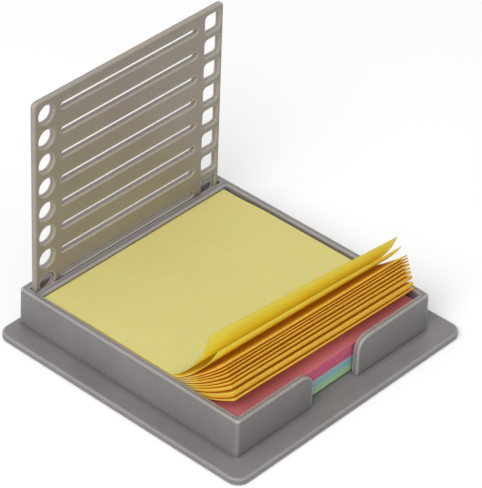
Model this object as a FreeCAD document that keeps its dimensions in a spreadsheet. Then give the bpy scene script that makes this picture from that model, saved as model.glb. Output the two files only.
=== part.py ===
"""Sticky note dispenser: a walled tray, an upright stencil plate and four pads of notes.

Millimetres. X runs along the front wall, +Y to the rear, +Z up. The origin is the middle
of the base plate's underside, and every piece is written in the place where it is used.
"""

import FreeCAD
import Part
import Sketcher
import math
import os
import re

# Every size of the object, by name, in millimetres or degrees
SIZES = {
    # base plate
    "plate_wide": 97.0,
    "plate_deep": 95.6,
    "plate_thick": 2.4,
    "plate_corner": 4.0,
    "plate_top_round": 0.7,
    "plate_foot_bevel": 0.4,
    # walls of the tray
    "front_ledge": 7.74,
    "rim_height": 15.0,
    "wall_thick": 2.05,
    "wall_draft": 0.8,
    "box_corner": 1.0,
    "cavity_corner": 0.6,
    "rim_round": 0.45,
    # finger notch in the front wall
    "notch_wide": 19.2,
    "notch_round": 4.6,
    # cross wall and groove behind the notes
    "divider_thick": 2.2,
    "groove_wide": 2.8,
    "groove_foot_wide": 2.1,
    "rear_wall_thick": 2.15,
    # pads of notes
    "note_side": 76.0,
    "note_side_play": 0.96,
    "note_front_play": 0.56,
    "note_rear_play": 0.15,
    "green_thick": 3.0,
    "blue_thick": 2.9,
    "pink_thick": 4.2,
    "pink_shift": 0.3,
    "yellow_shift": -0.25,
    # fanned leaves of the yellow pad
    "leaf_count": 11,
    "leaf_thick": 0.13,
    "leaf_gap": 0.06,
    "glued_thick": 1.45,
    "glued_long": 16.0,
    "closed_long": 30.0,
    "low_rise": 6.43,
    "rise_gain": 9.95,
    "rise_power": 0.57,
    "top_rise": 4.46,
    "top_rise_power": 1.2,
    "low_turn": 32.4,
    "turn_gain": 17.0,
    "turn_power": 0.4,
    "top_turn": 32.5,
    "top_turn_power": 0.9,
    "plain_share": 0.8,
    "low_bend_radius": 10.0,
    "high_bend_radius": 6.8,
    "low_bend": 18.0,
    "high_bend": 38.0,
    "fold_slant": 3.7,
    # stencil plate
    "stencil_wide": 77.1,
    "stencil_high": 76.9,
    "stencil_thick": 1.8,
    "stencil_rear_play": 0.2,
    "stencil_corner": 1.7,
    "stencil_edge_bevel": 0.4,
    "window_edge_bevel": 0.22,
    "row_count": 8,
    "first_row_down": 5.35,
    "last_row_up": 13.24,
    "circle_inset": 4.85,
    "circle_wide": 5.9,
    "square_inset": 4.6,
    "square_side": 6.1,
    "square_corner": 1.15,
    "slot_inset": 10.5,
    "slot_right_inset": 10.9,
    "slot_high": 2.0,
}

doc = FreeCAD.newDocument("sticky_note_dispenser")
sheet = doc.addObject("Spreadsheet::Sheet", "sizes")
for row, (name, value) in enumerate(SIZES.items(), start=1):
    sheet.set(f"A{row}", name)
    sheet.set(f"B{row}", str(value))
    sheet.setAlias(f"B{row}", name)
doc.recompute()


def size(name):
    """The value of one named size."""
    return float(sheet.get(name))


def bound(text):
    """Write the names of sizes in a formula as references to the sheet."""
    return re.sub(r"[a-z_]+[a-z]", lambda word: f"sizes.{word[0]}" if word[0] in SIZES else word[0], text)


def bind(thing, **formulas):
    """Tie properties of an object to formulas of named sizes."""
    for prop, text in formulas.items():
        thing.setExpression(prop.replace("__", "."), bound(text))


def new_body(name):
    body = doc.addObject("PartDesign::Body", name)
    body.Label = name
    return body


def new_sketch(body, name, role, height="0"):
    """A sketch on one of the body's own origin planes, moved along its normal."""
    sketch = body.newObject("Sketcher::SketchObject", name)
    plane = next(item for item in body.Origin.OriginFeatures if item.Role == role)
    sketch.AttachmentSupport = (plane, [""])
    sketch.MapMode = "FlatFace"
    bind(sketch, AttachmentOffset__Base__z=height)
    return sketch


def polygon(sketch, corners):
    """A closed outline; each corner is a pair of formulas, measured from the sketch's origin."""
    count = len(corners)
    spots = [tuple(evaluate(text) for text in corner) for corner in corners]
    first = len(sketch.Geometry)
    for step in range(count):
        start = FreeCAD.Vector(*spots[step], 0)
        end = FreeCAD.Vector(*spots[(step + 1) % count], 0)
        sketch.addGeometry(Part.LineSegment(start, end), False)
    for step in range(count):
        sketch.addConstraint(Sketcher.Constraint("Coincident", first + step, 2, first + (step + 1) % count, 1))
    for step, corner in enumerate(corners):
        for kind, text, spot in zip(("DistanceX", "DistanceY"), corner, spots[step]):
            at = sketch.addConstraint(Sketcher.Constraint(kind, -1, 1, first + step, 1, spot))
            sketch.setExpression(f"Constraints[{at}]", bound(text))


def rectangle(sketch, left, right, low, high):
    polygon(sketch, [(left, low), (right, low), (right, high), (left, high)])


def circle(sketch, across, up, wide):
    """A circle; the centre and the width are formulas."""
    centre = FreeCAD.Vector(evaluate(across), evaluate(up), 0)
    ring = sketch.addGeometry(Part.Circle(centre, FreeCAD.Vector(0, 0, 1), evaluate(wide) / 2), False)
    for kind, text in (("DistanceX", across), ("DistanceY", up)):
        at = sketch.addConstraint(Sketcher.Constraint(kind, -1, 1, ring, 3, evaluate(text)))
        sketch.setExpression(f"Constraints[{at}]", bound(text))
    at = sketch.addConstraint(Sketcher.Constraint("Diameter", ring, evaluate(wide)))
    sketch.setExpression(f"Constraints[{at}]", bound(wide))


def long_hole(sketch, left, right, middle, high):
    """A straight slot with round ends; its ends, its middle line and its height are formulas."""
    radius = evaluate(high) / 2
    level = evaluate(middle)
    from_x = evaluate(left) + radius
    to_x = evaluate(right) - radius
    upright = FreeCAD.Vector(0, 0, 1)
    left_ring = Part.Circle(FreeCAD.Vector(from_x, level, 0), upright, radius)
    right_ring = Part.Circle(FreeCAD.Vector(to_x, level, 0), upright, radius)
    first = sketch.addGeometry(Part.ArcOfCircle(left_ring, math.pi / 2, 3 * math.pi / 2), False)
    low_line = (FreeCAD.Vector(from_x, level - radius, 0), FreeCAD.Vector(to_x, level - radius, 0))
    high_line = (FreeCAD.Vector(to_x, level + radius, 0), FreeCAD.Vector(from_x, level + radius, 0))
    sketch.addGeometry(Part.LineSegment(*low_line), False)
    sketch.addGeometry(Part.ArcOfCircle(right_ring, -math.pi / 2, math.pi / 2), False)
    sketch.addGeometry(Part.LineSegment(*high_line), False)
    for step in range(4):
        following = first + (step + 1) % 4
        sketch.addConstraint(Sketcher.Constraint("Tangent", first + step, 2, following, 1))
    sketch.addConstraint(Sketcher.Constraint("Equal", first, first + 2))
    sketch.addConstraint(Sketcher.Constraint("Horizontal", first + 1))
    for kind, spot, text in (
        ("DistanceX", first, f"{left} + ({high}) / 2"),
        ("DistanceY", first, middle),
        ("DistanceX", first + 2, f"{right} - ({high}) / 2"),
    ):
        at = sketch.addConstraint(Sketcher.Constraint(kind, -1, 1, spot, 3, evaluate(text)))
        sketch.setExpression(f"Constraints[{at}]", bound(text))
    at = sketch.addConstraint(Sketcher.Constraint("Radius", first, radius))
    sketch.setExpression(f"Constraints[{at}]", bound(f"({high}) / 2"))


def evaluate(text):
    """The number that a formula of named sizes gives."""
    value = sheet.evalExpression(bound(text))
    return float(getattr(value, "Value", value))


def pad(body, sketch, name, **formulas):
    solid = body.newObject("PartDesign::Pad", name)
    solid.Profile = sketch
    bind(solid, **formulas)
    return solid


def pocket(body, sketch, name, **formulas):
    cut = body.newObject("PartDesign::Pocket", name)
    cut.Profile = sketch
    bind(cut, **formulas)
    return cut


def edge_names(feature, wanted):
    """Names of the edges of a feature whose ends and middle all satisfy a test."""
    names = []
    for number, edge in enumerate(feature.Shape.Edges, start=1):
        first, last = edge.ParameterRange
        spots = [edge.valueAt(first), edge.valueAt((first + last) / 2), edge.valueAt(last)]
        if wanted(edge, spots):
            names.append(f"Edge{number}")
    return names


def edge_feature(kind, body, feature, name, wanted, **formulas):
    """A fillet or chamfer on the edges of a feature that satisfy a test."""
    doc.recompute()
    names = edge_names(feature, wanted)
    if not names:
        raise ValueError(f"no edge to work on in {name}")
    result = body.newObject(kind, name)
    result.Base = (feature, names)
    bind(result, **formulas)
    body.Tip = result
    return result


def rounded(body, feature, name, wanted, radius):
    """Round the edges that satisfy a test, by a formula of named sizes."""
    return edge_feature("PartDesign::Fillet", body, feature, name, wanted, Radius=radius)


def bevelled(body, feature, name, wanted, width):
    """Bevel the edges that satisfy a test, by a formula of named sizes."""
    return edge_feature("PartDesign::Chamfer", body, feature, name, wanted, Size=width)


def along(edge, direction):
    """Whether an edge is straight and runs along a direction, give or take the draft."""
    first, last = edge.ParameterRange
    chord = edge.valueAt(last) - edge.valueAt(first)
    return abs(chord.Length - edge.Length) < 1e-6 and chord.cross(direction).Length < 0.12 * edge.Length


UP = FreeCAD.Vector(0, 0, 1)
BACK = FreeCAD.Vector(0, 1, 0)

# Places that several pieces share
CAVITY_WIDE = "note_side + 2 * note_side_play"
BOX_WIDE = f"{CAVITY_WIDE} + 2 * wall_thick"
BOX_FRONT = "front_ledge - plate_deep / 2"
CAVITY_FRONT = f"{BOX_FRONT} + wall_thick"
NOTE_FRONT = f"{CAVITY_FRONT} + note_front_play"
NOTE_REAR = f"{NOTE_FRONT} + note_side"
CAVITY_REAR = f"{NOTE_REAR} + note_rear_play"
GROOVE_FRONT = f"{CAVITY_REAR} + divider_thick"
GROOVE_REAR = f"{GROOVE_FRONT} + groove_wide"
BOX_REAR = f"{GROOVE_REAR} + rear_wall_thick"

rim = evaluate("rim_height")
floor = evaluate("plate_thick")
cavity_front = evaluate(CAVITY_FRONT)
cavity_rear = evaluate(CAVITY_REAR)

# Tray: plate and drafted walls, hollowed by the note cavity and the groove
tray = new_body("tray")
plate_sketch = new_sketch(tray, "plate_outline", "XY_Plane")
rectangle(plate_sketch, "-plate_wide / 2", "plate_wide / 2", "-plate_deep / 2", "plate_deep / 2")
plate = pad(tray, plate_sketch, "plate", Length="plate_thick")
plate = rounded(tray, plate, "plate_corners", lambda edge, spots: along(edge, UP), "plate_corner")

box_sketch = new_sketch(tray, "box_outline", "XY_Plane", "rim_height")
rectangle(box_sketch, f"-({BOX_WIDE}) / 2", f"({BOX_WIDE}) / 2", BOX_FRONT, BOX_REAR)
box = pad(tray, box_sketch, "box", Length="rim_height - plate_thick / 2")
box.Reversed = True
tray.Tip = box
doc.recompute()
outer_walls = [
    f"Face{number}" for number, face in enumerate(box.Shape.Faces, start=1)
    if face.BoundBox.ZMax > rim - 0.1 and face.BoundBox.ZLength > 1
]
box_top = next(
    f"Face{number}" for number, face in enumerate(box.Shape.Faces, start=1)
    if face.BoundBox.ZMin > rim - 0.1
)
drafted = tray.newObject("PartDesign::Draft", "drafted_walls")
drafted.Base = (box, outer_walls)
drafted.NeutralPlane = (box, [box_top])
bind(drafted, Angle="wall_draft")
box = rounded(
    tray, drafted, "box_corners",
    lambda edge, spots: along(edge, UP) and max(spot.z for spot in spots) > rim - 0.1,
    "box_corner",
)

cavity_sketch = new_sketch(tray, "cavity_outline", "XY_Plane", "rim_height")
rectangle(cavity_sketch, f"-({CAVITY_WIDE}) / 2", f"({CAVITY_WIDE}) / 2", CAVITY_FRONT, CAVITY_REAR)
cavity = pocket(tray, cavity_sketch, "cavity", Length="rim_height - plate_thick")
cavity = rounded(
    tray, cavity, "cavity_corners",
    lambda edge, spots: along(edge, UP)
    and cavity_front - 0.01 < spots[1].y < cavity_rear + 0.01
    and abs(spots[1].x) < evaluate(CAVITY_WIDE) / 2 + 0.01
    and max(spot.z for spot in spots) > rim - 0.1,
    "cavity_corner",
)

groove_sketch = new_sketch(tray, "groove_section", "YZ_Plane")
polygon(groove_sketch, [
    (f"{GROOVE_REAR} - groove_foot_wide", "plate_thick"),
    (GROOVE_REAR, "plate_thick"),
    (GROOVE_REAR, "rim_height"),
    (GROOVE_FRONT, "rim_height"),
])
groove = pocket(tray, groove_sketch, "groove", Length=CAVITY_WIDE)
groove.Midplane = True

notch_sketch = new_sketch(tray, "notch_outline", "XZ_Plane", "plate_deep / 2")
rectangle(notch_sketch, "-notch_wide / 2", "notch_wide / 2", "plate_thick", "rim_height + 1")
notch = pocket(tray, notch_sketch, "notch", Length=f"plate_deep / 2 + ({CAVITY_FRONT}) + note_front_play / 2")
notch = rounded(
    tray, notch, "notch_corners",
    lambda edge, spots: along(edge, BACK)
    and abs(spots[1].z - rim) < 0.01
    and abs(abs(spots[1].x) - evaluate("notch_wide") / 2) < 0.01,
    "notch_round",
)


def notch_upright(edge, spots):
    """An edge up one end of the notch, inside or outside the front wall."""
    near = abs(abs(spots[1].x) - evaluate("notch_wide") / 2) < evaluate("notch_round")
    return near and spots[1].y < cavity_front + 0.01 and max(spot.z for spot in spots) > floor + 1


def on_rim(edge, spots):
    """An edge of the rim, or of the notch that runs down from it."""
    flat = all(abs(spot.z - rim) < 0.01 for spot in spots)
    return flat or (notch_upright(edge, spots) and not along(edge, BACK))


tray_rim = rounded(tray, notch, "rim_edges", on_rim, "rim_round")
tray_top = rounded(
    tray, tray_rim, "plate_top_edge",
    lambda edge, spots: all(abs(spot.z - floor) < 0.01 for spot in spots)
    and (abs(spots[1].x) > evaluate(BOX_WIDE) / 2 + 2 or abs(spots[1].y) > evaluate(BOX_REAR) + 1),
    "plate_top_round",
)
tray_end = bevelled(
    tray, tray_top, "plate_foot_edge",
    lambda edge, spots: all(abs(spot.z) < 0.01 for spot in spots),
    "plate_foot_bevel",
)

# Stencil: a flat plate with a circle, a slot and a rounded square in each row
stencil = new_body("stencil")
outline = new_sketch(stencil, "stencil_outline", "XZ_Plane")
rectangle(outline, "-stencil_wide / 2", "stencil_wide / 2", "0", "stencil_high")
panel = pad(stencil, outline, "panel", Length="stencil_thick")
stencil_high = evaluate("stencil_high")
panel = rounded(
    stencil, panel, "top_corners",
    lambda edge, spots: along(edge, BACK) and spots[1].z > stencil_high - 0.01,
    "stencil_corner",
)

windows = new_sketch(stencil, "first_row", "XZ_Plane", "stencil_thick")
ROW = "stencil_high - first_row_down"
circle(windows, "-stencil_wide / 2 + circle_inset", ROW, "circle_wide")
long_hole(
    windows, "-stencil_wide / 2 + slot_inset", "stencil_wide / 2 - slot_right_inset",
    ROW, "slot_high",
)
rectangle(
    windows, "stencil_wide / 2 - square_inset - square_side / 2",
    "stencil_wide / 2 - square_inset + square_side / 2",
    f"{ROW} - square_side / 2", f"{ROW} + square_side / 2",
)
first_row = pocket(stencil, windows, "first_row_cut", Length="stencil_thick")
rows = stencil.newObject("PartDesign::LinearPattern", "rows")
rows.Originals = [first_row]
rows.Direction = (windows, ["V_Axis"])
rows.Reversed = True
bind(rows, Length="stencil_high - first_row_down - last_row_up", Occurrences="row_count")
stencil.Tip = rows
doc.recompute()

half_wide = evaluate("stencil_wide") / 2
square_left = half_wide - evaluate("square_inset") - evaluate("square_side") / 2


def square_edge(edge, spots):
    """A corner edge of a square window, running through the plate."""
    inside = square_left - 0.1 < spots[1].x < half_wide - 0.5 and 0.5 < spots[1].z < stencil_high - 0.5
    return along(edge, BACK) and inside


squares = rounded(stencil, rows, "square_corners", square_edge, "square_corner")


def on_front(spots):
    """Whether an edge lies in the front face of the stencil."""
    return all(abs(spot.y + evaluate("stencil_thick")) < 0.01 for spot in spots)


def on_rear(spots):
    """Whether an edge lies in the rear face of the stencil."""
    return all(abs(spot.y) < 0.01 for spot in spots)


def on_border(spots):
    """Whether an edge belongs to the outer border of the stencil."""
    across = abs(spots[1].x) > half_wide - 0.9
    return across or spots[1].z < 0.9 or spots[1].z > stencil_high - 0.9


border = bevelled(
    stencil, squares, "border_edges",
    lambda edge, spots: (on_front(spots) or on_rear(spots)) and on_border(spots),
    "stencil_edge_bevel",
)
# the bevel is limited by the bar between two windows of a column
BAR = "((stencil_high - first_row_down - last_row_up) / (row_count - 1) - square_side)"
window_edges = bevelled(
    stencil, border, "window_edges",
    lambda edge, spots: on_front(spots) and not on_border(spots),
    f"min(window_edge_bevel; 0.4 * {BAR})",
)
bind(stencil, Placement__Base__y=f"{GROOVE_REAR} - stencil_rear_play", Placement__Base__z="plate_thick")


# Flat pads, stacked on the tray's floor
def flat_pad(name, low, thick, shift):
    block = doc.addObject("Part::Box", name)
    block.Label = name
    bind(
        block,
        Length="note_side", Width="note_side", Height=thick,
        Placement__Base__x=f"{shift} - note_side / 2",
        Placement__Base__y=NOTE_FRONT,
        Placement__Base__z=low,
    )
    return block


BLUE_LOW = "plate_thick + green_thick"
PINK_LOW = f"{BLUE_LOW} + blue_thick"
YELLOW_LOW = f"{PINK_LOW} + pink_thick"
green = flat_pad("green_note_pad", "plate_thick", "green_thick", "0")
blue = flat_pad("blue_note_pad", BLUE_LOW, "blue_thick", "0")
pink = flat_pad("pink_note_pad", PINK_LOW, "pink_thick", "pink_shift")


# Fanned pad: each leaf lies flat, bends up on one arc and curls on with a second one.
# Lengths run forwards from the glued rear edge, and heights from the pink pad's top.
# The fold lines are slanted, so the leaves lift later, and less, at their right edge.
# Up through the fan the tips rise and turn more and more, and the top leaves curl over.
def leaf_fold(leaf):
    """How a leaf is folded, as lengths and turns along its section square to the fold line.

    leaf counts up from the lowest. Gives its height, where it lifts, the radius and the turn
    of its bend, and the radius and the turn of its curl. The tip's rise and turn are named
    sizes; the curl's radius makes up the rise, and the flat part takes the rest of the length.
    """
    share = leaf / (size("leaf_count") - 1)
    over = max(0.0, (share - size("plain_share")) / (1 - size("plain_share")))
    height = leaf * (size("leaf_thick") + size("leaf_gap"))
    bend_radius = size("low_bend_radius") + (size("high_bend_radius") - size("low_bend_radius")) * share
    bend = math.radians(size("low_bend") + (size("high_bend") - size("low_bend")) * share)
    tip = size("low_turn") + size("turn_gain") * share ** size("turn_power")
    tip = math.radians(tip + size("top_turn") * over ** size("top_turn_power"))
    rise = size("low_rise") + size("rise_gain") * share ** size("rise_power")
    rise += size("top_rise") * over ** size("top_rise_power")
    curl_radius = (rise - bend_radius * (1 - math.cos(bend))) / (math.cos(bend) - math.cos(tip))
    lift_at = size("note_side") - bend_radius * bend - curl_radius * (tip - bend)
    return height, lift_at, bend_radius, bend, curl_radius, tip - bend


def on_leaf(leaf, turn, rise=0.0):
    """The spot of a leaf's section that has turned up by an angle, and rise above its underside."""
    height, lift_at, bend_radius, bend, curl_radius, _ = leaf_fold(leaf)
    early = min(turn, bend)
    along_it = lift_at + bend_radius * math.sin(early)
    up = height + bend_radius * (1 - math.cos(early))
    if turn > bend:
        along_it += curl_radius * (math.sin(turn) - math.sin(bend))
        up += curl_radius * (math.cos(bend) - math.cos(turn))
    return FreeCAD.Vector(0, rise * math.sin(turn) - along_it, up + rise * math.cos(turn))


def across_fold(spot, across):
    """Where the fold's ruling through a spot of the section comes out at a distance across the pad."""
    slant = math.atan(size("fold_slant") / size("note_side"))
    return FreeCAD.Vector(across, spot.y / math.cos(slant) - across * math.tan(slant), spot.z)


def arc(leaf, start, end, rise=0.0):
    """An arc of a leaf's section, from one turn to another."""
    spots = [on_leaf(leaf, turn, rise) for turn in (start, (start + end) / 2, end)]
    return Part.Arc(*spots).toShape()


def leaf_solid(leaf):
    """One folded leaf: its section carried along the fold line, cut to width and then to length."""
    height, lift_at, bend_radius, bend, curl_radius, curl = leaf_fold(leaf)
    thick = size("leaf_thick")
    slant = size("fold_slant")
    tip = bend + curl
    start = FreeCAD.Vector(0, -(size("closed_long") - slant - thick), height)
    lifted = FreeCAD.Vector(0, 0, thick)
    outline = Part.Wire([
        Part.makeLine(start, on_leaf(leaf, 0)),
        arc(leaf, 0, bend),
        arc(leaf, bend, tip),
        Part.makeLine(on_leaf(leaf, tip), on_leaf(leaf, tip, thick)),
        arc(leaf, tip, bend, thick),
        arc(leaf, bend, 0, thick),
        Part.makeLine(on_leaf(leaf, 0, thick), start + lifted),
        Part.makeLine(start + lifted, start),
    ])
    side = size("note_side")
    roll = Part.Face(outline).extrude(FreeCAD.Vector(side + 3 * slant, 0, 0))
    roll.translate(FreeCAD.Vector(-slant, 0, 0))
    roll.rotate(FreeCAD.Vector(0, 0, 0), UP, -math.degrees(math.atan(slant / side)))
    blank = Part.makeBox(side, 2 * side, 2 * side, FreeCAD.Vector(0, -2 * side, -side))
    sheet_of_paper = roll.common(blank)

    # the right edge is as long as the left one, so there the leaf ends a slant's length earlier
    right_turn = tip - slant / curl_radius
    left_tip = across_fold(on_leaf(leaf, tip), 0)
    right_tip = across_fold(on_leaf(leaf, right_turn), side)
    front_edge = right_tip - left_tip
    middle_turn = (tip + right_turn) / 2
    outwards = FreeCAD.Vector(0, -math.cos(middle_turn), math.sin(middle_turn))
    normal = front_edge.cross(outwards).normalize()
    overlap = front_edge * 0.1
    corners = [
        left_tip - overlap - normal * slant,
        right_tip + overlap - normal * slant,
        right_tip + overlap + normal * slant,
        left_tip - overlap + normal * slant,
    ]
    trimming = Part.Face(Part.makePolygon(corners + corners[:1])).extrude(outwards * slant * 2)
    return sheet_of_paper.cut(trimming)


def fanned_pad():
    """The glued stack of the yellow pad and the leaves that fan out of its front."""
    leaves = int(size("leaf_count"))
    open_thick = leaves * size("leaf_thick") + (leaves - 1) * size("leaf_gap")
    corners = [
        (0, 0),
        (size("closed_long"), 0),
        (size("closed_long"), open_thick),
        (size("glued_long"), open_thick),
        (0, size("glued_thick")),
    ]
    outline_points = [FreeCAD.Vector(0, -back, up) for back, up in corners]
    stack = Part.Face(Part.makePolygon(outline_points + outline_points[:1]))
    stack = stack.extrude(FreeCAD.Vector(size("note_side"), 0, 0))
    return stack.multiFuse([leaf_solid(leaf) for leaf in range(leaves)]).removeSplitter()


yellow = doc.addObject("Part::Feature", "yellow_note_pad")
yellow.Label = "yellow_note_pad"
yellow.Shape = fanned_pad()
bind(
    yellow,
    Placement__Base__x="yellow_shift - note_side / 2",
    Placement__Base__y=NOTE_REAR,
    Placement__Base__z=YELLOW_LOW,
)

doc.recompute()

pieces = [tray, stencil, green, blue, pink, yellow]
for thing in doc.Objects:
    if "Invalid" in thing.State or "Error" in thing.State:
        raise RuntimeError(f"{thing.Name} did not rebuild: {thing.State}")
for piece in pieces:
    if piece.Shape.isNull() or not piece.Shape.isValid() or len(piece.Shape.Solids) != 1:
        raise RuntimeError(f"{piece.Label} is not one valid solid")

os.makedirs("parts", exist_ok=True)
for piece in pieces:
    piece.Shape.exportStep(f"parts/{piece.Label}.step")
    room = piece.Shape.BoundBox
    print(f"{piece.Label}: {room.XLength:.2f} x {room.YLength:.2f} x {room.ZLength:.2f} mm, "
          f"volume {piece.Shape.Volume:.1f}")
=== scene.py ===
"""Dresses the sticky note dispenser and stands it in a plain studio.

The moulded tray and the stencil keep their solids and get a satin grey plastic. The four pads of
notes are built here, in the places that their solids hold: the flat ones leaf by leaf, and the
fanned one in bunches of leaves. Lengths are in metres, X runs along the front wall, +Y to the
rear and +Z up.
"""

import logging
import math
from dataclasses import dataclass
from enum import Enum
from typing import Any, Mapping, Sequence, Union

import bpy
import numpy as np
from mathutils import Matrix, Vector


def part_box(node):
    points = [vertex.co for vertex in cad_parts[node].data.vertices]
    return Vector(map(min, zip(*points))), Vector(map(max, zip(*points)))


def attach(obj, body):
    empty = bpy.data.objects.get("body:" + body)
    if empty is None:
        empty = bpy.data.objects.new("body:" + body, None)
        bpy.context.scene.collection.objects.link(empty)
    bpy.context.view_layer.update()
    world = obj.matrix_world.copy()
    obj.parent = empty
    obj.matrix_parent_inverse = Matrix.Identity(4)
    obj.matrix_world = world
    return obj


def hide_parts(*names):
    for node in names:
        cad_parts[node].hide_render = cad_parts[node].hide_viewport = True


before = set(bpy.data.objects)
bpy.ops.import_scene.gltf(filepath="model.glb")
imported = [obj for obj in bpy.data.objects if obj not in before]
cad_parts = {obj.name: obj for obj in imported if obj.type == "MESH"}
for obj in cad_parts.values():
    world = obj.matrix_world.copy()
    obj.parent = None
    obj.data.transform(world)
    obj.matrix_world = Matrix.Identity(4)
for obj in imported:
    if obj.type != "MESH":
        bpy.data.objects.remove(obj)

LOG = logging.getLogger("note_dispenser")
MM = 0.001
# edges that turn less than this are shaded smooth
SMOOTH_TURN = math.radians(40)
# how many rays find out how closed in a place is
NEAR_RAYS = 8

Triple = tuple[float, float, float]
Pair = tuple[float, float]
Colour = Triple

BLACK: Colour = (0.0, 0.0, 0.0)
WHITE: Colour = (1.0, 1.0, 1.0)


# Shader maths


class Reading:
    """A value that a shader node gives, with ordinary arithmetic."""

    def __init__(self, shading: "Shading", socket: bpy.types.NodeSocket) -> None:
        """Keep the socket and the nodes it belongs to.

        Args:
            shading: The nodes under construction.
            socket: The output socket that carries the value.
        """
        self.shading = shading
        self.socket = socket

    def maths(self, operation: str, other: "Number", swapped: bool = False) -> "Reading":
        """Add a Math node.

        Args:
            operation: The Math node's operation.
            other: The other operand.
            swapped: Whether the other operand comes before this value.

        Returns:
            The result of the node.
        """
        operands = {0: other, 1: self} if swapped else {0: self, 1: other}
        return self.shading.node("ShaderNodeMath", {"operation": operation}, operands)

    def __add__(self, other: "Number") -> "Reading":
        """This value plus another."""
        return self.maths("ADD", other)

    def __sub__(self, other: "Number") -> "Reading":
        """This value less another."""
        return self.maths("SUBTRACT", other)

    def __rsub__(self, other: "Number") -> "Reading":
        """Another value less this one."""
        return self.maths("SUBTRACT", other, swapped=True)

    def __mul__(self, other: "Number") -> "Reading":
        """This value times another."""
        return self.maths("MULTIPLY", other)

    __radd__ = __add__
    __rmul__ = __mul__

    def between(self, low: float, high: float) -> "Reading":
        """Where this value stands from low, 0, to high, 1, on a soft slope.

        Args:
            low: The value that gives 0.
            high: The value that gives 1.

        Returns:
            A value from 0 to 1.
        """
        return self.shading.node(
            "ShaderNodeMapRange",
            {"interpolation_type": "SMOOTHSTEP"},
            {"Value": self, "From Min": low, "From Max": high},
        )


Number = Union[float, Reading]


class Shading:
    """The nodes of one material or of the world, from coordinates to surface."""

    def __init__(self, owner: Union[bpy.types.Material, bpy.types.World]) -> None:
        """Start with no nodes.

        Args:
            owner: The new material or world that the nodes belong to.
        """
        self.owner = owner
        owner.use_nodes = True
        self.tree = owner.node_tree
        self.tree.nodes.clear()

    def node(
        self,
        kind: str,
        settings: Mapping[str, Any] | None = None,
        inputs: Mapping[Any, Any] | None = None,
        output: Union[int, str] = 0,
    ) -> Reading:
        """Add any node, set it up and feed it.

        Args:
            kind: The node's type.
            settings: Its properties, set first.
            inputs: Values or readings by socket index, name or identifier.
            output: The index or identifier of the output to read.

        Returns:
            The output that was asked for.
        """
        made = self.tree.nodes.new(kind)
        for key, value in (settings or {}).items():
            setattr(made, key, value)
        for key, value in (inputs or {}).items():
            socket = self._socket(made.inputs, key)
            if isinstance(value, Reading):
                self.tree.links.new(value.socket, socket)
            else:
                socket.default_value = value
        return Reading(self, self._socket(made.outputs, output))

    @staticmethod
    def _socket(sockets: Any, key: Union[int, str]) -> bpy.types.NodeSocket:
        """The socket with an index, an identifier or a name."""
        if isinstance(key, int):
            return sockets[key]
        return next((one for one in sockets if one.identifier == key), None) or sockets[key]

    def place(self, stretch: Triple = (1.0, 1.0, 1.0)) -> Reading:
        """The place on the piece, in metres times a stretch along each axis.

        Args:
            stretch: A factor for each axis.

        Returns:
            The vector to feed to a texture.
        """
        spot = self.node("ShaderNodeTexCoord", output="Object")
        return self.node("ShaderNodeVectorMath", {"operation": "MULTIPLY"}, {0: spot, 1: stretch})

    def closeness(self, reach: float, inside: bool) -> Reading:
        """How closed in a place is: by its own outward edges, or by what stands over it.

        Rays go inwards or outwards from the place. Those that meet the piece again within the
        reach count, so a flat face gives 0, and an edge or a corner up to about one half.

        Args:
            reach: How far the rays go, in metres.
            inside: Whether they go inwards, which finds outward edges.

        Returns:
            A value from 0 to 1.
        """
        settings = {"inside": inside, "only_local": True, "samples": NEAR_RAYS}
        openness = self.node("ShaderNodeAmbientOcclusion", settings, {"Distance": reach}, "AO")
        return 1.0 - openness

    def blend(self, amount: Number, first: Any, second: Any) -> Reading:
        """Mix two colours.

        Args:
            amount: How much of the second, from 0 to 1.
            first: A colour or a reading.
            second: A colour or a reading.

        Returns:
            The mixed colour.
        """
        sides = {
            key: colour if isinstance(colour, Reading) else (*colour, 1.0)
            for key, colour in (("A_Color", first), ("B_Color", second))
        }
        inputs = {"Factor_Float": amount, **sides}
        return self.node("ShaderNodeMix", {"data_type": "RGBA"}, inputs, "Result_Color")

    def mark(self, name: str) -> Reading:
        """A number that the piece's own mesh holds, by its attribute's name."""
        return self.node("ShaderNodeAttribute", {"attribute_name": name}, output="Fac")

    def relief(self, height: Reading, depth: float, strength: float = 1.0) -> Reading:
        """A normal bent by a height.

        Args:
            height: The height, from 0 to 1.
            depth: What a height of 1 stands for, in metres.
            strength: How much of it shows.

        Returns:
            The normal.
        """
        inputs = {"Height": height, "Distance": depth, "Strength": strength}
        return self.node("ShaderNodeBump", inputs=inputs)

    def seen(self) -> Reading:
        """1 on the rays of the camera, of gloss and of glass, and 0 on all other light."""
        camera, gloss, glass = (
            self.node("ShaderNodeLightPath", output=ray)
            for ray in ("Is Camera Ray", "Is Glossy Ray", "Is Transmission Ray")
        )
        return camera.maths("MAXIMUM", gloss).maths("MAXIMUM", glass)

    def end(self, kind: str, shader: Reading) -> Any:
        """Close the nodes with an output.

        Args:
            kind: The output node's type.
            shader: The shader that it takes.

        Returns:
            The material or world, finished.
        """
        last = self.tree.nodes.new(kind)
        self.tree.links.new(shader.socket, last.inputs["Surface"])
        return self.owner

    def finish(self, surface: Mapping[str, Any]) -> bpy.types.Material:
        """End a material in a Principled surface.

        Args:
            surface: Values or readings by the surface's socket names.

        Returns:
            The finished material.
        """
        shader = self.node("ShaderNodeBsdfPrincipled", inputs=surface)
        return self.end("ShaderNodeOutputMaterial", shader)


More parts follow.
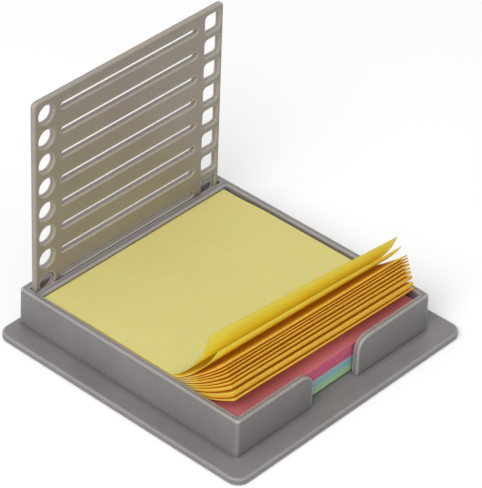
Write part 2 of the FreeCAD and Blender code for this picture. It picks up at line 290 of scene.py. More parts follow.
@dataclass(frozen=True)
class Pattern:
    """Smooth noise: its features' width, its finer layers, and the values at its spread's ends."""

    size: float
    detail: float = 2.0
    roughness: float = 0.5
    ends: Pair = (0.35, 0.65)

    def at(self, place: Reading) -> Reading:
        """The plain noise at a place.

        Args:
            place: The vector that places it, in the units of the size.

        Returns:
            A value from 0 to 1, mostly near one half.
        """
        return place.shading.node(
            "ShaderNodeTexNoise",
            {"noise_dimensions": "3D"},
            {
                "Vector": place,
                "Scale": 1.0 / self.size,
                "Detail": self.detail,
                "Roughness": self.roughness,
            },
        )

    def spread(self, noise: Reading) -> Reading:
        """The noise, spread so that its ends give 0 and 1."""
        return noise.between(*self.ends)


# Finishes


@dataclass(frozen=True)
class MouldedPlastic:
    """Satin plastic with the fine grain of an eroded mould, faint clouding, smoother edges with a
    painted highlight, and painted shade in its inward corners where set.
    """

    name: str
    light: Colour
    dark: Colour
    # the colour of the painted highlight on outward edges
    edge_highlight: Colour
    grain: Pattern = Pattern(0.28 * MM, detail=3.0, roughness=0.6)
    fleck: Pattern = Pattern(0.9 * MM)
    cloud: Pattern = Pattern(16 * MM, detail=3.0, roughness=0.55, ends=(0.3, 0.7))
    patch: Pattern = Pattern(35.2 * MM, detail=4.0, roughness=0.65, ends=(0.45, 0.75))
    # shares of clouds, flecks and grain in the colour
    tone_shares: Triple = (0.6, 0.25, 0.15)
    # shares of grain and flecks in the relief, and its height
    relief_shares: Pair = (0.7, 0.3)
    depth: float = 0.012 * MM
    # roughness of rubbed and of untouched plastic, and how much grain and wear change it
    gloss: Pair = (0.34, 0.46)
    grain_gloss: float = 0.06
    worn_gloss: float = 0.06
    shine: float = 0.5
    # outward edges: their width, the closeness that starts and ends their painted highlight and
    # their smoother polish, and how much of it is even, follows the clouds and follows the rubbed
    # patches
    edge: float = 1.0 * MM
    sheen_and_polish: Pair = (0.06, 0.42)
    sheen_and_polish_shares: Triple = (0.64, 0.26, 0.1)
    # inward corners: how much painted shade darkens them, its colour, their width and their
    # closeness
    corner_shading: float = 0.0
    corner_shade_colour: Colour = (0.085, 0.075, 0.078)
    crease: float = 3.0 * MM
    corner_shade: Pair = (0.12, 0.62)

    def material(self) -> bpy.types.Material:
        """Make the material.

        Returns:
            The plastic, with its grain as relief, its clouding as colour and gloss, its outward
            edges smoother and paler by a painted highlight, and painted shade in its inward corners
            where set.
        """
        shading = Shading(bpy.data.materials.new(self.name))
        place = shading.place()
        grain, fleck, cloud = (one.at(place) for one in (self.grain, self.fleck, self.cloud))
        rubbed = self.patch.spread(self.patch.at(place))
        clouded, flecked, grained = self.tone_shares
        tone = self.cloud.spread(cloud) * clouded + self.fleck.spread(fleck) * flecked
        tone = tone + grain * grained
        even, by_cloud, by_patch = self.sheen_and_polish_shares
        # painted highlight: outward edges turn to the highlight colour; the same mask smooths their
        # roughness
        sheen_and_polish = shading.closeness(self.edge, True).between(*self.sheen_and_polish)
        sheen_and_polish = sheen_and_polish * (even + cloud * by_cloud + rubbed * by_patch)
        colour = shading.blend(sheen_and_polish, shading.blend(tone, self.dark, self.light), self.edge_highlight)
        # painted shade: inward corners darken towards the corner shade colour
        if self.corner_shading:
            corner_shade = shading.closeness(self.crease, False).between(*self.corner_shade) * self.corner_shading
            colour = shading.blend(corner_shade, colour, self.corner_shade_colour)
        smooth, matt = self.gloss
        gloss = matt - rubbed * (matt - smooth) + (grain - 0.5) * self.grain_gloss
        grainy, flecky = self.relief_shares
        return shading.finish({
            "Base Color": colour,
            "Roughness": gloss - sheen_and_polish * self.worn_gloss,
            "Specular IOR Level": self.shine,
            "Normal": shading.relief(grain * grainy + fleck * flecky, self.depth),
        })


@dataclass(frozen=True)
class NotePaper:
    """Uncoated paper with fine fibres, soft clouding and streaked cut edges."""

    name: str
    face: Colour
    edge: Colour
    shade: Colour
    fibre: Pattern = Pattern(0.16 * MM, detail=3.0, roughness=0.7, ends=(0.25, 0.8))
    cloud: Pattern = Pattern(9 * MM, detail=3.0, ends=(0.25, 0.75))
    streak: Pattern = Pattern(0.11 * MM, roughness=0.8)
    band: Pattern = Pattern(0.495 * MM, detail=1.0, ends=(0.3, 0.7))
    # how the fibres and the streaks are stretched along each axis
    fibre_stretch: Triple = (1.0, 0.45, 1.0)
    streak_stretch: Triple = (0.02, 0.02, 1.0)
    # shares of clouds and fibres in a face's shade, and of streaks and bands in a cut edge's
    face_shares: Pair = (0.05, 0.06)
    cut_shares: Pair = (0.45, 0.3)
    # the fibres' height and how much of it shows, and how much they change the roughness
    depth: float = 0.006 * MM
    raised: float = 0.8
    rough: float = 0.82
    fibre_gloss: float = 0.06
    shine: float = 0.25

    def face_colour(self, shading: Shading) -> Any:
        """The colour of a sheet before its clouding."""
        return self.face

    def cut_shade(self, shading: Shading, streaks: Reading) -> Reading:
        """How far a cut edge turns to the shade, here by its streaks alone."""
        return streaks

    def lit(self, shading: Shading, tint: Reading) -> dict[str, Any]:
        """The sockets that colour and light the paper, by name."""
        return {"Base Color": tint}

    def streaks(self, shading: Shading) -> Reading:
        """The streaks of the cut edges, which follow the height and the "layer" attribute.

        Args:
            shading: The material under construction.

        Returns:
            Fine streaks and broader bands of them, added up.
        """
        layer = shading.node("ShaderNodeCombineXYZ", inputs={"Z": shading.mark("layer")})
        level = shading.place(self.streak_stretch)
        layers = shading.node("ShaderNodeVectorMath", {"operation": "ADD"}, {0: level, 1: layer})
        fine, broad = (one.spread(one.at(layers)) for one in (self.streak, self.band))
        return fine * self.cut_shares[0] + broad * self.cut_shares[1]

    def material(self) -> bpy.types.Material:
        """Make the material.

        Returns:
            The paper. The mesh's "cut" attribute picks its streaked edges.
        """
        shading = Shading(bpy.data.materials.new(self.name))
        fibre = self.fibre.at(shading.place(self.fibre_stretch))
        cloud = self.cloud.spread(self.cloud.at(shading.place()))
        clouded, fibred = self.face_shares
        clouding = cloud * clouded + self.fibre.spread(fibre) * fibred
        sheet = shading.blend(clouding, self.face_colour(shading), self.shade)
        shade = self.cut_shade(shading, self.streaks(shading))
        cut = shading.blend(shade, self.edge, self.shade)
        return shading.finish({
            **self.lit(shading, shading.blend(shading.mark("cut"), sheet, cut)),
            "Roughness": self.rough - fibre * self.fibre_gloss,
            "Specular IOR Level": self.shine,
            "Normal": shading.relief(fibre, self.depth, self.raised),
        })


@dataclass(frozen=True)
class GlowingPaper(NotePaper):
    """Bright thin paper that lets light through, with painted warm shade between its sheets and a
    faint painted glow.
    """

    # the top sheet's paler upper face, a painted sheen; the rear of the bunches' side faces takes
    # it as painted shade
    top: Colour = WHITE
    # the faint painted glow that all sheets but the top one give off
    painted_glow: Colour = BLACK
    # how much light goes in, how far each colour travels, and the unit of that way
    glow: float = 0.5
    glow_reach: Triple = (0.8, 0.6, 0.15)
    glow_depth: float = 0.4 * MM
    # how wide the gaps between sheets are, and the closeness that starts and ends their painted
    # shade
    gap: float = 4.0 * MM
    deep: Pair = (0.5, 0.92)
    # shares of the streaks, of painted shade towards a bunch's underside and of painted warm light
    # in a cut edge's shade
    bunch_shares: Triple = (0.45, 0.6, 0.35)

    def face_colour(self, shading: Shading) -> Reading:
        """The pale top colour, a painted sheen, where the "top" attribute is 1, or else the face's.
        """
        return shading.blend(shading.mark("top"), self.face, self.top)

    def cut_shade(self, shading: Shading, streaks: Reading) -> Reading:
        """How far a cut edge turns to the shade.

        Args:
            shading: The material under construction.
            streaks: The edge's streaks.

        Returns:
            The streaks, plus painted shade where "high" is 0, low in a bunch, and painted warm
            light by "warm".
        """
        streaked, low, warm = self.bunch_shares
        under = 1.0 - shading.mark("high")
        return streaks * streaked + under * low + shading.mark("warm") * warm

    def lit(self, shading: Shading, tint: Reading) -> dict[str, Any]:
        """The sockets that colour and light the paper.

        Args:
            shading: The material under construction.
            tint: The colour of its faces and edges.

        Returns:
            Values or readings by socket name. Between close sheets the paper turns to its shade
            colour as painted shade, less so by "top" and "free", and all but the top sheet gets a
            faint painted glow.
        """
        top = shading.mark("top")
        held = (1.0 - top) * (1.0 - shading.mark("free"))
        # painted shade between close sheets
        deep = shading.closeness(self.gap, False).between(*self.deep)
        return {
            "Base Color": shading.blend(deep * held, tint, self.shade),
            "Subsurface Weight": self.glow,
            "Subsurface Radius": self.glow_reach,
            "Subsurface Scale": self.glow_depth,
            # painted glow: every sheet but the top one emits a faint warm light
            "Emission Color": shading.blend(top, self.painted_glow, BLACK),
            "Emission Strength": 1.0,
        }


class Stock(Enum):
    """The papers of the four pads."""

    GREEN = NotePaper(
        "green_paper",
        face=(0.42, 0.66, 0.30),
        edge=(0.50, 0.78, 0.42),
        shade=(0.25, 0.42, 0.20),
    )
    BLUE = NotePaper(
        "blue_paper",
        face=(0.27, 0.60, 0.62),
        edge=(0.38, 0.63, 0.65),
        shade=(0.18, 0.34, 0.37),
    )
    PINK = NotePaper(
        "pink_paper",
        face=(0.57, 0.165, 0.195),
        edge=(0.76, 0.18, 0.31),
        shade=(0.46, 0.08, 0.14),
    )
    YELLOW = GlowingPaper(
        "yellow_paper",
        face=(0.98, 0.88, 0.16),
        edge=(0.83, 0.67, 0.075),
        shade=(0.66, 0.215, 0.008),
        streak_stretch=(0.02, 0.02, 0.0),
        # painted sheen of the top sheet
        top=(0.73, 0.68, 0.25),
        # painted glow of the sheets under the top one
        painted_glow=(0.046, 0.026, 0.001),
    )


# Meshes


def make_object(name: str, spots: np.ndarray, faces: Sequence[np.ndarray]) -> bpy.types.Object:
    """Put worked-out spots and faces into a new object.

    Args:
        name: The object's name.
        spots: Places, one row each, in metres.
        faces: Arrays of corner numbers, one row a face, with three or four columns each.

    Returns:
        The object, linked to the scene, with its place in its mesh.
    """
    numbers = np.concatenate([block.ravel() for block in faces])
    counts = np.concatenate([np.full(len(block), block.shape[1]) for block in faces])
    starts = np.concatenate([[0], np.cumsum(counts)[:-1]])
    mesh = bpy.data.meshes.new(name)
    mesh.vertices.add(len(spots))
    mesh.loops.add(len(numbers))
    mesh.polygons.add(len(counts))
    mesh.vertices.foreach_set("co", spots.astype(np.float32).ravel())
    mesh.loops.foreach_set("vertex_index", numbers.astype(np.int32))
    mesh.polygons.foreach_set("loop_start", starts.astype(np.int32))
    mesh.update(calc_edges=True)
    mesh.validate()
    mesh.polygons.foreach_set("use_smooth", np.ones(len(mesh.polygons), bool))
    mesh.set_sharp_from_angle(angle=SMOOTH_TURN)
    made = bpy.data.objects.new(name, mesh)
    bpy.context.scene.collection.objects.link(made)
    return made


def tube_faces(rows: int, columns: int) -> np.ndarray:
    """Corner numbers of the quads between rows of spots that each run round in a loop.

    Args:
        rows: The number of rows of spots.
        columns: The number of spots in a row.

    Returns:
        One row of four corners for each quad, row by row.
    """
    down = np.arange(rows - 1)[:, None] * columns
    along = np.arange(columns)[None, :]
    first, second = down + along, down + (along + 1) % columns
    quads = np.stack([first, second, second + columns, first + columns], axis=-1)
    return quads.reshape(-1, 4)


def smooth_step(value: np.ndarray) -> np.ndarray:
    """Three times the square less twice the cube, of the value held between 0 and 1."""
    held = np.clip(value, 0.0, 1.0)
    return held * held * (3.0 - 2.0 * held)


def mark(made: bpy.types.Object, name: str, values: np.ndarray, domain: str = "FACE") -> None:
    """Give each face or point of a mesh a number under a name.

    Args:
        made: The object.
        name: The attribute's name.
        values: One number a face or point.
        domain: What the numbers belong to, "FACE" or "POINT".
    """
    marks = made.data.attributes.new(name, "FLOAT", domain)
    marks.data.foreach_set("value", values.astype(np.float32))


# Sub-assemblies


@dataclass
class Mouldings:
    """The tray and the stencil, which keep their solids and get the moulded plastic; the stencil's
    is a lighter, yellower copy, painted light and a painted yellow reflection.
    """

    tray: MouldedPlastic = MouldedPlastic(
        "tray_grey",
        light=(0.240, 0.226, 0.224),
        dark=(0.196, 0.182, 0.181),
        # painted highlight on the outward edges
        edge_highlight=(0.70, 0.66, 0.635),
        # painted shade in the inward corners
        corner_shading=0.6,
    )
    # the tray's grey made lighter and yellower: painted light and a painted reflection of the
    # yellow notes
    stencil: MouldedPlastic = MouldedPlastic(
        "stencil_grey_painted_light",
        light=(0.340, 0.298, 0.247),
        dark=(0.292, 0.252, 0.214),
        # painted highlight on the outward edges
        edge_highlight=(0.60, 0.56, 0.52),
    )

    def dress(self) -> None:
        """Give both solids the grey plastic."""
        for node, plastic in (("tray", self.tray), ("stencil", self.stencil)):
            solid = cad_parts[node]
            solid.data.materials.clear()
            solid.data.materials.append(plastic.material())
            LOG.info("%s dressed in %s", node, plastic.name)


@dataclass
class Pad:
    """A pad of notes: its solid, its name, its slot (not used), its paper and the seed of its
    unevenness.
    """

    node: str
    name: str
    slot: str
    stock: Stock
    seed: int

    def settle(self, pad: bpy.types.Object, parts: str) -> bpy.types.Object:
        """Give the new pad its paper and the solid's place.

        Args:
            pad: The pad's object.
            parts: What it is made of, for the log.

        Returns:
            The pad's object.
        """
        pad.data.materials.append(self.stock.value.material())
        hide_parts(self.node)
        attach(pad, "root")
        LOG.info("%s: %s", self.name, parts)
        return pad


@dataclass
class FlatPad(Pad):
    """A squared-up pad of notes whose leaves stand a hair in or out of line."""

    leaf: float = 0.1 * MM
    seam: float = 0.012 * MM
    stray: float = 0.05 * MM
    # the spread of the steps that add up to the leaves' slow drift
    drift: float = 0.35
    foot_high: float = 0.0
    foot_inset: float = 1.2 * MM
    side_spots: int = 14
    # the rings that close the pad below, as shares of its outline; on top they run backwards
    shrink: Triple = (0.08, 0.5, 0.9)

    def outline(self) -> np.ndarray:
        """The square outline of the pad, as spots from -1 to 1.

        Runs once round the square at an even pace: four straight sides, each of side_spots steps.

        Returns:
            One row of x and y for each spot.
        """
        pace = np.arange(4 * self.side_spots) / self.side_spots
        side, along = np.divmod(pace, 1.0)
        turn = side * math.pi / 2
        ahead = 2.0 * along - 1.0
        across = np.cos(turn) - ahead * np.sin(turn)
        return np.stack([across, np.sin(turn) + ahead * np.cos(turn)], axis=-1)

    def strays(self, leaves: int) -> np.ndarray:
        """How far each leaf stands out of line, half by a slow drift and half by chance.

        Args:
            leaves: The number of leaves.

        Returns:
            One row of x and y for each leaf.
        """
        draw = np.random.default_rng(self.seed)
        drift = np.cumsum(draw.normal(0.0, self.drift, (leaves, 2)), axis=0)
        chance = draw.uniform(-0.5, 0.5, (leaves, 2))
        return (0.5 * drift / np.abs(drift).max() + chance) * self.stray

    def rings(self, low: np.ndarray, high: np.ndarray) -> np.ndarray:
        """Rings of spots from the middle below, up the leaves, to the middle on top.

        Each leaf gives two rings, a seam apart from its neighbours' and shifted by its own small
        stray, so the side is a fine staircase. The lowest leaves, up to the foot's height, are
        drawn in by its inset. The rings below and on top shrink to the middle.

        Args:
            low: The pad's lowest corner.
            high: Its highest corner.

        Returns:
            An array of rings, spots round and x, y, z.
        """
        half = (high - low)[:2] / 2 - self.stray
        edges = np.linspace(low[2], high[2], round((high[2] - low[2]) / self.leaf) + 1)
        stray = np.repeat(self.strays(len(edges) - 1), 2, axis=0)
        lift = np.stack([edges[:-1] + self.seam / 2, edges[1:] - self.seam / 2], axis=-1).ravel()
        lift[0], lift[-1] = low[2], high[2]
        sides = np.where(lift < low[2] + self.foot_high, 1.0 - self.foot_inset / half[0], 1.0)
        scale = np.concatenate([self.shrink, sides, self.shrink[::-1]])
        ends = (len(self.shrink), len(self.shrink))
        height = np.pad(lift, ends, "edge")
        shift = np.pad(stray, (ends, (0, 0)), "edge")
        flat = scale[:, None, None] * half * self.outline()[None]
        flat = (low + high)[:2] / 2 + shift[:, None, :] + flat
        levels = np.broadcast_to(height[:, None, None], (*flat.shape[:2], 1))
        return np.concatenate([flat, levels], axis=-1)

    def build(self) -> bpy.types.Object:
        """Build the pad as one skin through its rings, closed by a fan of triangles at each end.

        Returns:
            The pad.
        """
        low, high = (np.array(corner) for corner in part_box(self.node))
        rings = self.rings(low, high)
        rows, columns = rings.shape[:2]
        middle = (low + high)[:2] / 2
        poles = np.array([[*middle, low[2]], [*middle, high[2]]])
        first_pole, last_pole = rows * columns, rows * columns + 1
        around = np.arange(columns)
        following = (around + 1) % columns
        last_row = (rows - 1) * columns
        under = [following, around, np.full(columns, first_pole)]
        over = [last_row + around, last_row + following, np.full(columns, last_pole)]
        fans = [np.stack(fan, axis=-1) for fan in (under, over)]
        spots = np.concatenate([rings.reshape(-1, 3), poles])
        pad = make_object(self.name, spots, [tube_faces(rows, columns), *fans])
        ring_of_face = np.repeat(np.arange(rows - 1), columns)
        ends = len(self.shrink)
        on_side = (ring_of_face >= ends) & (ring_of_face < rows - 1 - ends)
        mark(pad, "cut", np.concatenate([on_side, np.zeros(2 * columns)]))
        return self.settle(pad, f"{(rows - 2 * ends) // 2} leaves")


@dataclass
class FannedPad(Pad):
    """The glued top pad, whose leaves lie flat at the rear and fan up at the front."""

    side: float = 76 * MM
    # a single leaf's thickness
    thick: float = 0.1 * MM
    # the pitch of the rises' leaves at the front and where they are glued, and where it changes
    pitch: float = 0.19 * MM
    glued_pitch: float = 0.132 * MM
    glued_from: float = 4.5 * MM
    glued_until: float = 18 * MM
    # how far the front corner of each bunch's top leaf stands above the flat leaf, in millimetres
    rises: tuple[float, ...] = (6.4, 8.8, 10.5, 11.5, 12.3, 13.4, 14.1, 14.7, 15.3, 17.9, 20.9)
    # how much of the way down to the next bunch a bunch's leaves fill, and the lowest one upwards
    filled: float = 0.52
    lowest: float = 0.2
    # the first bend of the lowest and of the top leaf: its radius, and its turn in degrees
    low_bend_radius: float = 10.0 * MM
    high_bend_radius: float = 6.8 * MM
    low_bend: float = 18.0
    high_bend: float = 38.0
    # the whole turn of a leaf's front edge, in degrees: the lowest leaf's, what the height adds,
    # and what the leaves that curl over add
    low_turn: float = 32.4
    turn_gain: float = 17.0
    turn_power: float = 0.4
    top_turn: float = 32.5
    top_turn_power: float = 0.9
    # the share of the fan below the leaves that curl over
    plain_share: float = 0.8
    # how far a fold runs askew over the pad's width, and over which share of the fan that falls
    low_slant: float = 4.0 * MM
    middle_slant: float = 3.0 * MM
    top_slant: float = 4.2 * MM
    slant_share: float = 0.4
    # the wave of a front edge: its height, its least and most swing and beat, and where it starts
    wave: float = 0.08 * MM
    swing: Pair = (0.4, 1.0)
    beat: Pair = (0.7, 1.6)
    wave_from: float = 0.65
    bow: float = 0.4 * MM
    across_spots: int = 33
    along_spots: int = 52
    # how much of the spots' pace along a leaf is even; the rest slows down towards the front
    even_pace: float = 0.62
    # how far the streaks change through one bunch
    streaked: float = 0.5 * MM
    # where along its left and right ends a bunch starts to show cut faces, and over which share
    cut_from: float = 0.64
    cut_over: float = 0.1
    # from which share of the fan a bunch takes the full painted warm light, and how many leaves on
    # top stand free and take less painted shade
    warm_from: float = 0.8
    free_leaves: float = 2.0

    @property
    def bunches(self) -> list[Pair]:
        """The lower and the upper place of each bunch among the rises, lowest bunch first.

        The two on top are single leaves, whose two places are the same.
        """
        count = len(self.rises)
        full = [(number - self.filled, float(number)) for number in range(1, count - 2)]
        return [(0.0, self.lowest), *full, (count - 2.0, count - 2.0), (count - 1.0, count - 1.0)]

    def over(self, share: float) -> float:
        """How far a leaf belongs to the ones on top that curl over, from 0 to 1."""
        return max(0.0, (share - self.plain_share) / (1.0 - self.plain_share))

    def slant(self, share: float) -> float:
        """How askew a leaf's fold is.

        The slant falls from the lowest leaf to the middle ones and grows again in the top ones.

        Args:
            share: The leaf's height in the fan, from 0 to 1.

        Returns:
            The fold's turn from the pad's front edge, in radians.
        """
        fall = smooth_step(np.array(share / self.slant_share)).item()
        offset = self.low_slant + (self.middle_slant - self.low_slant) * fall
        offset += (self.top_slant - self.middle_slant) * self.over(share) ** 2
        return math.atan(offset / self.side)

    def section(self, level: float, along: np.ndarray) -> tuple[np.ndarray, ...]:
        """Where a leaf's underside runs, square to the fold.

        The leaf is flat up to where it lifts, turns up on one arc, and curls on with a second one
        over the rest of its length: reach grows with the sine and height with one less the cosine
        of the turn, times the radius. The tip's rise and turn settle the second arc's radius.

        Args:
            level: The leaf's place among the rises.
            along: Lengths along the leaf, square to the fold.

        Returns:
            The reach, the height and the turn at each length.
        """
        share = level / (len(self.rises) - 1)
        rise = np.interp(level, np.arange(len(self.rises)), self.rises).item() * MM
        radius = self.low_bend_radius + (self.high_bend_radius - self.low_bend_radius) * share
        bend = math.radians(self.low_bend + (self.high_bend - self.low_bend) * share)
        tip = self.low_turn + self.turn_gain * share ** self.turn_power
        tip = math.radians(tip + self.top_turn * self.over(share) ** self.top_turn_power)
        drop = math.cos(bend) - math.cos(tip)
        curl_radius = (rise - radius * (1.0 - math.cos(bend))) / drop
        lift_at = self.side - radius * bend - curl_radius * (tip - bend)
        early = np.clip((along - lift_at) / radius, 0.0, bend)
        late = bend + np.maximum(along - lift_at - radius * bend, 0.0) / curl_radius
        curled = late > bend
        reach = np.minimum(along, lift_at) + radius * np.sin(early)
        reach += np.where(curled, curl_radius * (np.sin(late) - np.sin(bend)), 0.0)
        height = radius * (1.0 - np.cos(early))
        height += np.where(curled, curl_radius * (np.cos(bend) - np.cos(late)), 0.0)
        return reach, height, np.where(curled, late, early)

    def ripple(self, share: float, across: np.ndarray, wave: np.ndarray) -> np.ndarray:
        """How far a leaf's front edge waves up and down.

        A sine with its own start, swing and beat, and in the leaves that curl over one bow more.

        Args:
            share: The leaf's height in the fan, from 0 to 1.
            across: Lengths across the leaf.
            wave: Three shares, for the start, the swing and the beat.

        Returns:
            The rise at each length.
        """
        swing = np.interp(wave[1], (0.0, 1.0), self.swing)
        beat = np.interp(wave[2], (0.0, 1.0), self.beat)
        waved = self.wave * swing * np.sin(2 * math.pi * (beat * across / self.side + wave[0]))
        return waved + self.bow * self.over(share) * np.sin(math.pi * across / self.side)

    def skin(self, level: float, rise: float, wave: np.ndarray) -> np.ndarray:
        """One face of a leaf as a grid of spots.

        A spot of the flat sheet, so far across and so far along, keeps its distance along the fold
        line and is rolled up square to it. Near the glued rear edge the leaves draw together, and
        towards the front each has its own faint wave.

        Args:
            level: The leaf's place among the rises.
            rise: How far the face lies over the leaf's underside.
            wave: Three shares, for the start, the swing and the beat of its wave.

        Returns:
            An array of rows across, spots along and x, y, z, from the rear edge's left corner,
            forwards negative.
        """
        share = level / (len(self.rises) - 1)
        slant = self.slant(share)
        pace = np.linspace(0.0, 1.0, self.along_spots)
        pace = self.even_pace * pace + (1.0 - self.even_pace) * (1.0 - (1.0 - pace) ** 2)
        along = self.side * pace[None, :]
        across = np.linspace(0.0, self.side, self.across_spots)[:, None]
        square = along * math.cos(slant) - across * math.sin(slant)
        with_fold = across * math.cos(slant) + along * math.sin(slant)
        reach, height, turn = self.section(level, square)
        lifted = smooth_step((along / self.side - self.wave_from) / (1.0 - self.wave_from))
        height = height + self.ripple(share, across, wave) * lifted
        spaced = smooth_step((along - self.glued_from) / (self.glued_until - self.glued_from))
        height = height + level * (self.glued_pitch + (self.pitch - self.glued_pitch) * spaced)
        forward = reach - rise * np.sin(turn)
        return np.stack([
            with_fold * math.cos(slant) - forward * math.sin(slant),
            -with_fold * math.sin(slant) - forward * math.cos(slant),
            height + rise * np.cos(turn),
        ], axis=-1)

    def sheet(self, levels: Pair, wave: np.ndarray) -> np.ndarray:
        """The spots of one bunch: in each row its lower face's, then its upper one's backwards.

        Args:
            levels: The bunch's lower and upper place among the rises.
            wave: Three shares for its wave.

        Returns:
            One row of x, y and z for each spot.
        """
        low_level, high_level = levels
        lower = self.skin(low_level, 0.0, wave)
        upper = self.skin(high_level, self.thick if low_level == high_level else 0.0, wave)
        return np.concatenate([lower, upper[:, ::-1]], axis=1).reshape(-1, 3)

    def sheet_faces(self) -> list[np.ndarray]:
        """The faces of one bunch: the skin round it and its left and right ends.

        Returns:
            Three arrays of corner numbers, one row a face.
        """
        loop = 2 * self.along_spots
        under = np.arange(self.along_spots - 1)
        left = np.stack([under, loop - 1 - under, loop - 2 - under, under + 1], axis=-1)
        right = left[:, ::-1] + (self.across_spots - 1) * loop
        return [block[:, ::-1] for block in (tube_faces(self.across_spots, loop), left, right)]

    def mark_faces(self, pad: bpy.types.Object, count: int) -> None:
        """Mark the cut faces ("cut") and the pale faces: painted sheen on top, painted shade at the
        rear ends ("top").

        Args:
            pad: The pad's object.
            count: How many bunches it has.
        """
        loop = 2 * self.along_spots
        column = np.tile(np.arange(loop), self.across_spots - 1)
        cut = (column == self.along_spots - 1) | (column == loop - 1)
        upper = (column >= self.along_spots) & ~cut
        strip = np.arange(self.along_spots - 1) / self.along_spots
        ends = np.tile(smooth_step((strip - self.cut_from) / self.cut_over), 2)
        mark(pad, "cut", np.tile(np.concatenate([cut, ends]), count))
        tops = [upper & (number == count - 1) for number in range(count)]
        # painted shade: the rear of each bunch's left and right ends takes the pale top colour too
        mark(pad, "top", np.concatenate([part for top in tops for part in (top, 1.0 - ends)]))

    def mark_spots(self, pad: bpy.types.Object, count: int) -> None:
        """Mark where each spot is: "high" in its bunch, in a "warm" or "free" one, on a "layer".

        Args:
            pad: The pad's object.
            count: How many bunches it has.
        """
        order = np.arange(count)
        spots = 2 * self.along_spots * self.across_spots
        # "high" is 0 on a bunch's lower face, towards which its cut edge takes painted shade
        high = np.tile(np.repeat([0.0, 1.0], self.along_spots), self.across_spots * count)
        # painted warm light on the cut edges, growing up the fan
        warm = np.minimum(order / (count - 1) / self.warm_from, 1.0)
        # the free leaves on top take less of the painted shade between sheets
        free = np.sqrt(np.clip(1.0 - (count - 1 - order) / self.free_leaves, 0.0, 1.0))
        mark(pad, "high", high, "POINT")
        mark(pad, "warm", np.repeat(warm, spots), "POINT")
        mark(pad, "free", np.repeat(free, spots), "POINT")
        mark(pad, "layer", (np.repeat(2.0 * order, spots) + high) * self.streaked, "POINT")

    def build(self) -> bpy.types.Object:
        """Build all the bunches as one object of closed sheets.

        Returns:
            The pad.
        """
        low, high = (np.array(corner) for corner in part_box(self.node))
        rear_left = np.array([low[0], high[1], low[2]])
        waves = np.random.default_rng(self.seed).uniform(size=(len(self.rises), 3))
        sheets = [self.sheet(levels, wave) + rear_left for levels, wave in zip(self.bunches, waves)]
        starts = [number * len(sheets[0]) for number in range(len(sheets))]
        faces = [block + start for start in starts for block in self.sheet_faces()]
        pad = make_object(self.name, np.concatenate(sheets), faces)
        self.mark_faces(pad, len(sheets))
        self.mark_spots(pad, len(sheets))
        return self.settle(pad, f"{len(sheets)} bunches")


# Studio


@dataclass(frozen=True)
class SoftLamp:
    """A square soft lamp that faces the object, its place in metres and its power in watts."""

    name: str
    spot: Triple
    power: float
    width: float = 1.0
    aim: Triple = (0.0, 0.0, 0.02)

    def build(self) -> None:
        """Hang the lamp, turned to where it aims."""
        light = bpy.data.lights.new(self.name, "AREA")
        light.shape = "SQUARE"
        light.size = self.width
        light.energy = self.power
        lamp = bpy.data.objects.new(self.name, light)
        lamp.location = self.spot
        way = Vector(self.aim) - Vector(self.spot)
        lamp.rotation_euler = way.to_track_quat("-Z", "Y").to_euler()
        bpy.context.scene.collection.objects.link(lamp)


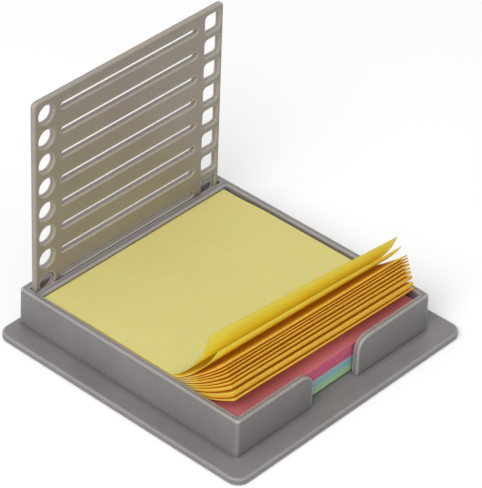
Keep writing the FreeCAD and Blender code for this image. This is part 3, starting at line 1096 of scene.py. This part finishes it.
@dataclass
class Studio:
    """A pale floor, a soft light all round and two large soft lamps."""

    floor_half: float = 3.0
    # the floor's colour to the camera and to all other light, and what it adds to look white
    floor_seen: Colour = (0.97, 0.97, 0.97)
    floor_lights: Colour = (0.60, 0.60, 0.60)
    floor_lift: float = 0.13
    floor_rough: float = 0.9
    ambient: float = 0.52
    lamps: tuple[SoftLamp, ...] = (
        SoftLamp("key_lamp", (-1.05, -0.30, 1.15), power=16.0),
        SoftLamp("fill_lamp", (0.5, -1.2, 1.4), power=1.0),
    )

    def build(self) -> None:
        """Make the floor, the world and the lamps."""
        self._floor()
        self._world()
        for lamp in self.lamps:
            lamp.build()
        LOG.info("studio ready")

    def _floor(self) -> None:
        """A large plain square under the object, white to the camera and duller as a light."""
        square = np.array([[-1.0, -1.0, 0.0], [1.0, -1.0, 0.0], [1.0, 1.0, 0.0], [-1.0, 1.0, 0.0]])
        floor = make_object("floor", square * self.floor_half, [np.array([[0, 1, 2, 3]])])
        shading = Shading(bpy.data.materials.new("floor_white"))
        seen = shading.seen()
        floor.data.materials.append(shading.finish({
            "Base Color": shading.blend(seen, self.floor_lights, self.floor_seen),
            "Emission Color": shading.blend(seen, BLACK, (self.floor_lift,) * 3),
            "Emission Strength": 1.0,
            "Roughness": self.floor_rough,
            "Specular IOR Level": 0.0,
        }))

    def _world(self) -> None:
        """White where the camera, gloss or glass looks past the object, softer as a light."""
        shading = Shading(bpy.data.worlds.new("studio_sky"))
        levels = {"Value": shading.seen(), "To Min": self.ambient, "To Max": 1.0}
        level = shading.node("ShaderNodeMapRange", inputs=levels)
        light = {"Color": (*WHITE, 1.0), "Strength": level}
        sky = shading.node("ShaderNodeBackground", inputs=light)
        bpy.context.scene.world = shading.end("ShaderNodeOutputWorld", sky)


@dataclass(frozen=True)
class Viewpoint:
    """The camera at the photograph's angle."""

    spot: Triple = (-0.53177, -0.47062, 0.56164)
    ahead: Triple = (0.60229543, 0.53021866, -0.59674818)
    up: Triple = (0.42123993, 0.42389479, 0.80179182)
    focal_pixels: float = 3103.58
    picture_high: int = 488
    sensor: float = 36.0
    nearest: float = 0.01
    farthest: float = 20.0

    def build(self) -> None:
        """Make the scene's camera."""
        camera = bpy.data.cameras.new("camera")
        camera.sensor_fit = "VERTICAL"
        camera.sensor_height = self.sensor
        camera.sensor_width = self.sensor
        camera.lens = self.focal_pixels / self.picture_high * self.sensor
        camera.clip_start = self.nearest
        camera.clip_end = self.farthest
        stand = bpy.data.objects.new("camera", camera)
        backwards = -Vector(self.ahead).normalized()
        right = Vector(self.up).cross(backwards).normalized()
        turn = Matrix((right, backwards.cross(right), backwards)).transposed().to_4x4()
        stand.matrix_world = Matrix.Translation(Vector(self.spot)) @ turn
        bpy.context.scene.collection.objects.link(stand)
        bpy.context.scene.camera = stand
        LOG.info("camera at %s", self.spot)


def main() -> None:
    """Build and dress everything, in order."""
    logging.basicConfig(level=logging.INFO, format="%(name)s: %(message)s")
    bpy.context.scene.view_settings.view_transform = "Standard"
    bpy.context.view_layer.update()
    Viewpoint().build()
    Mouldings().dress()
    FlatPad(
        "green_note_pad", "green_leaves", "green_paper", Stock.GREEN, seed=3, foot_high=0.75 * MM
    ).build()
    FlatPad("blue_note_pad", "blue_leaves", "blue_paper", Stock.BLUE, seed=5).build()
    FlatPad("pink_note_pad", "pink_leaves", "pink_paper", Stock.PINK, seed=7).build()
    FannedPad("yellow_note_pad", "yellow_leaves", "yellow_paper", Stock.YELLOW, seed=11).build()
    Studio().build()


if __name__ == "__main__":
    main()
